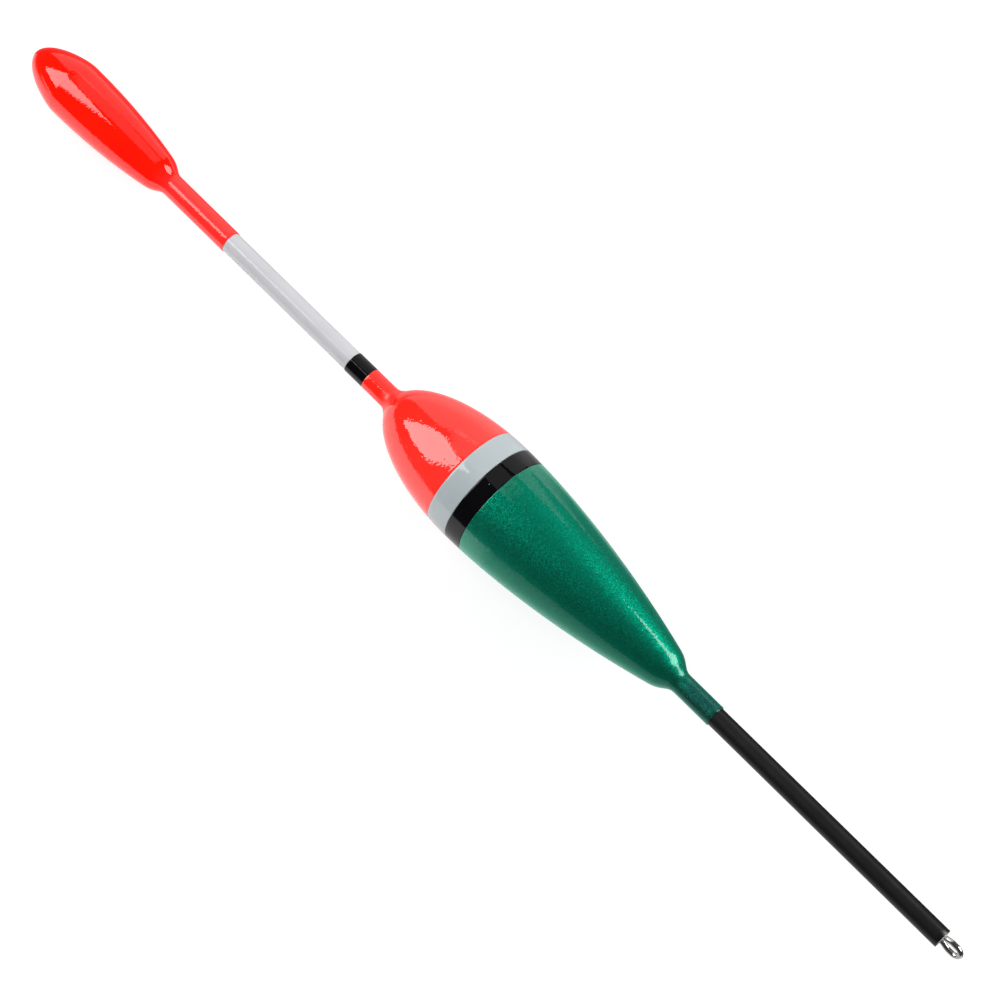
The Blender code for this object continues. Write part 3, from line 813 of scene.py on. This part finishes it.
def buildKeel(shape):
    for name, node, slot, finish, lip in (
            ("keelCoat", "keel_coat", "black_coat", blackKeelCoat, shape["lip"]),
            ("keelTube", "keel_tube", "white_plastic", keelPlastic, shape["tubeLip"])):
        turned(name, sleeveOutline(node, lip, shape["rows"]), node, finish, {"Sides": shape["sides"]})

    # the plug's face sinks a little, as glue does when it dries
    low, high = span("eye_plug")
    radius = widest("eye_plug")[0]
    face = []
    for i in range(shape["plugRows"] + 1):
        share = i / shape["plugRows"]
        face.append((radius * share, low + shape["plugDish"] * (1 - share ** shape["dishPower"])))
    outline = face + [(radius, high), (0.0, high)]
    turned("eyePlug", outline, "eye_plug", whiteGlue, {"Sides": shape["plugSides"]})


def eyePath(shape):
    # from one leg's end out to the loop, round it, and back along the other leg
    reach, depth = span("line_eye")
    loopRadius = shape["holeWidth"] / 2 + shape["wireRadius"]
    bendStart = reach + shape["wireRadius"] + shape["bendLength"]
    spreadEnd = bendStart + shape["straightLength"]
    half = shape["bends"] // 2
    side = [(shape["legOffset"], depth)]
    for i in range(half + 1):
        share = i / half
        ease = share * share * (3 - 2 * share)
        side.append((shape["legOffset"] + (loopRadius - shape["legOffset"]) * ease, spreadEnd * share))
    bend = []
    for i in range(shape["bends"] + 1):
        angle = math.pi * i / shape["bends"]
        bend.append((loopRadius * math.cos(angle), bendStart - shape["bendLength"] * math.sin(angle)))
    flat = side + bend + [(-x, z) for x, z in reversed(side)]
    turn = math.radians(shape["turn"])
    return [(x * math.cos(turn), x * math.sin(turn), z) for x, z in flat]


def buildEye(shape):
    bake("lineEye", eyePath(shape), bentWire, {
        "Wire Radius": shape["wireRadius"], "Wire Sides": shape["wireSides"], "Finish": steelWire},
        "line_eye")


buildKeel(keelShape)
buildEye(eyeShape)
print("keel, plug and eye built")


# The two wooden cores stay as CAD nodes

for name in ("body_core", "bulb_core"):
    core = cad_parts[name]
    core.data.materials.clear()
    core.data.materials.append(floatWood)
print("cores finished")


# Floor, light and camera

def direction(elevation, azimuth):
    up, turn = math.radians(elevation), math.radians(azimuth)
    return Vector((math.cos(up) * math.cos(turn), math.cos(up) * math.sin(turn), math.sin(up)))


stageLook = {
    "floorSize": 6.0, "floorCells": 8,  # its width is in metres
    "room": 0.04,  # how bright the room is
    "sockets": {"Roughness": 0.9, "Specular IOR Level": 0.0, "Emission Color": (1, 1, 1, 1)},
    "bounceColor": (0.90, 0.90, 0.90, 1), "paintedReflectionPale": (0.68, 0.68, 0.68, 1),
    "seenColor": (0.30, 0.30, 0.30, 1), "paintedReflectionDark": (0.06, 0.06, 0.06, 1),
    # what the camera sees: from and to away from the middle, in millimetres, then the strength
    "liftFade": (200.0, 800.0, 0.82, 1.0),
    # painted reflection: a pale pool of floor, and dark floor round it, that only gloss rays see: its
    # strength, places in millimetres, and shares of it
    "gloss": 0.56,
    "halves": (-8.0, 6.0),  # between the keel's half and the bulb's, along the float
    # beside the keel, and beside the bulb
    "leftFrom": (9.0, 80.0), "leftTo": (19.0, 150.0), "leftNear": (0.62, 1.1), "leftFar": (0.34, 0.0),
    "rightFrom": (-20.0, -30.0), "rightTo": (-16.0, -20.0), "rightFar": (0.0, 0.65),
    # from and to along the float, then the share
    "nearFade": (30.0, 60.0, 0.45, 0.1), "tailFade": (-30.0, -18.0, 0.1, 1.0),
    "frontFade": (95.0, 115.0, 1.0, 0.0),
    # the painted dark wedge ahead of the bulb, seen only in gloss: its start, its slope and the width of
    # its soft sides
    "frontStart": 60.0, "frontSpread": 0.5, "frontSoft": 15.0,
}


def poolShare(tree, look, alongX, alongY):
    # how much of the painted pale pool, which only gloss rays see, shows at this place
    half = mapRange(tree, alongX, *look["halves"], 0.0, 1.0)

    def byHalf(name):
        return mapRange(tree, half, 0.0, 1.0, *look[name])

    left = mapRange(tree, alongY, byHalf("leftFrom"), byHalf("leftTo"),
                    byHalf("leftNear"), byHalf("leftFar"))
    near = mapRange(tree, alongX, *look["nearFade"])
    near = sums(tree, "MULTIPLY", near, mapRange(tree, alongX, *look["tailFade"]))
    right = mapRange(tree, alongY, byHalf("rightFrom"), byHalf("rightTo"), byHalf("rightFar"), near)
    onLeft = sums(tree, "GREATER_THAN", alongY, 0.0)
    share = sums(tree, "MULTIPLY_ADD", onLeft, sums(tree, "SUBTRACT", left, right), right)
    # painted reflection: dark ahead of the bulb, in a wedge
    wedge = sums(tree, "MULTIPLY", sums(tree, "SUBTRACT", alongX, look["frontStart"]), look["frontSpread"])
    outside = sums(tree, "SUBTRACT", sums(tree, "ABSOLUTE", alongY), wedge)
    beside = mapRange(tree, outside, 0.0, look["frontSoft"], 0.0, 1.0)
    ahead = mapRange(tree, alongX, *look["frontFade"])
    return sums(tree, "MULTIPLY", share, sums(tree, "MAXIMUM", ahead, beside))


def buildFloor(look):
    mesh = bpy.data.meshes.new("studioFloor")
    bm = bmesh.new()
    cells = look["floorCells"]
    bmesh.ops.create_grid(bm, x_segments=cells, y_segments=cells, size=look["floorSize"] / 2)
    bm.to_mesh(mesh)
    bm.free()
    floor = bpy.data.objects.new("studioFloor", mesh)
    scene.collection.objects.link(floor)
    floor.location.z = cadBox[0][2]

    # the camera sees it nearly white, gloss rays see a painted reflection of a pale pool on dark floor, and
    # all else gets a plain bounce
    material, tree, shader, where = newFinish("paperFloor", look["sockets"])
    along = addNode(tree, "ShaderNodeSeparateXYZ", {0: where}).outputs
    away = addNode(tree, "ShaderNodeVectorMath", {0: where}, operation="LENGTH").outputs["Value"]
    ray = addNode(tree, "ShaderNodeLightPath").outputs
    pool = poolShare(tree, look, along["X"], along["Y"])
    color = mixColors(tree, pool, look["paintedReflectionDark"], look["paintedReflectionPale"])
    color = mixColors(tree, ray["Is Glossy Ray"], look["bounceColor"], color)
    color = mixColors(tree, ray["Is Camera Ray"], color, look["seenColor"])
    tree.links.new(color, shader.inputs["Base Color"])
    seen = sums(tree, "MAXIMUM", ray["Is Camera Ray"], ray["Is Transmission Ray"])
    lift = mapRange(tree, away, *look["liftFade"])
    # painted reflection: the pool also gives off light that only gloss rays see
    mirrored = sums(tree, "MULTIPLY", sums(tree, "MULTIPLY", ray["Is Glossy Ray"], pool), look["gloss"])
    tree.links.new(sums(tree, "MULTIPLY_ADD", seen, lift, mirrored), shader.inputs["Emission Strength"])
    mesh.materials.append(material)


def buildRoom(look):
    # dim all round, and white where the camera looks past the floor
    world = bpy.data.worlds.new("studioRoom")
    scene.world = world
    world.use_nodes = True
    tree = world.node_tree
    back = tree.nodes["Background"]
    back.inputs["Color"].default_value = (1, 1, 1, 1)
    seen = addNode(tree, "ShaderNodeLightPath").outputs["Is Camera Ray"]
    tree.links.new(mapRange(tree, seen, 0.0, 1.0, look["room"], 1.0), back.inputs["Strength"])


softLights = {
    # elevation, azimuth and roll in degrees, width and height as shares of the distance, which is in metres
    "keyBox": {
        "way": (41.4, 21.1), "roll": 28.8, "size": (0.612, 0.847), "distance": 0.9, "radiance": 4.6,
        # one side slants: its place at half height and its slope, as shares of the box
        "slant": (0.995, -0.2)},
    "sideBox": {
        "way": (30.3, -125.2), "roll": 0.0, "size": (0.62, 0.62), "distance": 0.9, "radiance": 6.0},
    "backPanel": {
        "way": (17.0, -52.5), "roll": 8.0, "size": (1.05, 0.85), "distance": 0.9, "radiance": 0.68},
    "highPanel": {
        "way": (56.1, -44.9), "roll": -39.7, "size": (0.452, 0.697), "distance": 0.476, "radiance": 0.49},
    "leftFill": {
        "way": (32.0, 98.0), "roll": 0.0, "size": (1.0, 0.8), "distance": 0.9, "radiance": 0.88,
        "gloss": False},  # for the matt whites alone, which no gloss mirrors
}


def slantSide(lamp, side, slope):
    lamp.use_nodes = True
    tree = lamp.node_tree
    place = addNode(tree, "ShaderNodeNewGeometry").outputs["Parametric"]
    share = addNode(tree, "ShaderNodeSeparateXYZ", {0: place}).outputs
    edge = sums(tree, "MULTIPLY_ADD", sums(tree, "SUBTRACT", share["Y"], 0.5), slope, side)
    tree.links.new(sums(tree, "LESS_THAN", share["X"], edge), tree.nodes["Emission"].inputs["Strength"])


def buildLights(lights):
    for name, look in lights.items():
        lamp = bpy.data.lights.new(name, "AREA")
        lamp.shape = "RECTANGLE"
        lamp.size, lamp.size_y = (share * look["distance"] for share in look["size"])
        lamp.energy = look["radiance"] * math.pi * lamp.size * lamp.size_y
        light = bpy.data.objects.new(name, lamp)
        scene.collection.objects.link(light)
        way = direction(*look["way"])
        roll = Matrix.Rotation(math.radians(look["roll"]), 3, "Z").to_quaternion()
        turn = (way.to_track_quat("Z", "Y") @ roll).to_matrix().to_4x4()
        light.matrix_world = Matrix.Translation(way * look["distance"]) @ turn
        if "slant" in look:
            slantSide(lamp, *look["slant"])
        light.visible_camera = False
        light.visible_glossy = look.get("gloss", True)


cameraLook = {
    # lengths in millimetres, elevation and azimuth in degrees
    "target": (-4.66, -0.55, 8.19), "way": (72.01, 136.335), "distance": 415.4,
    "lens": 111.6, "sensor": 36.0, "clipStart": 10.0,
}


def buildCamera(look):
    data = bpy.data.cameras.new("photoCamera")
    data.lens = look["lens"]
    data.sensor_width = look["sensor"]
    data.clip_start = look["clipStart"] * millimetre
    camera = bpy.data.objects.new("photoCamera", data)
    scene.collection.objects.link(camera)
    back = direction(*look["way"])
    camera.location = (Vector(look["target"]) + back * look["distance"]) * millimetre
    camera.rotation_euler = back.to_track_quat("Z", "Y").to_euler()
    scene.camera = camera


buildFloor(stageLook)
buildRoom(stageLook)
buildLights(softLights)
buildCamera(cameraLook)
print("floor, lights and camera set")
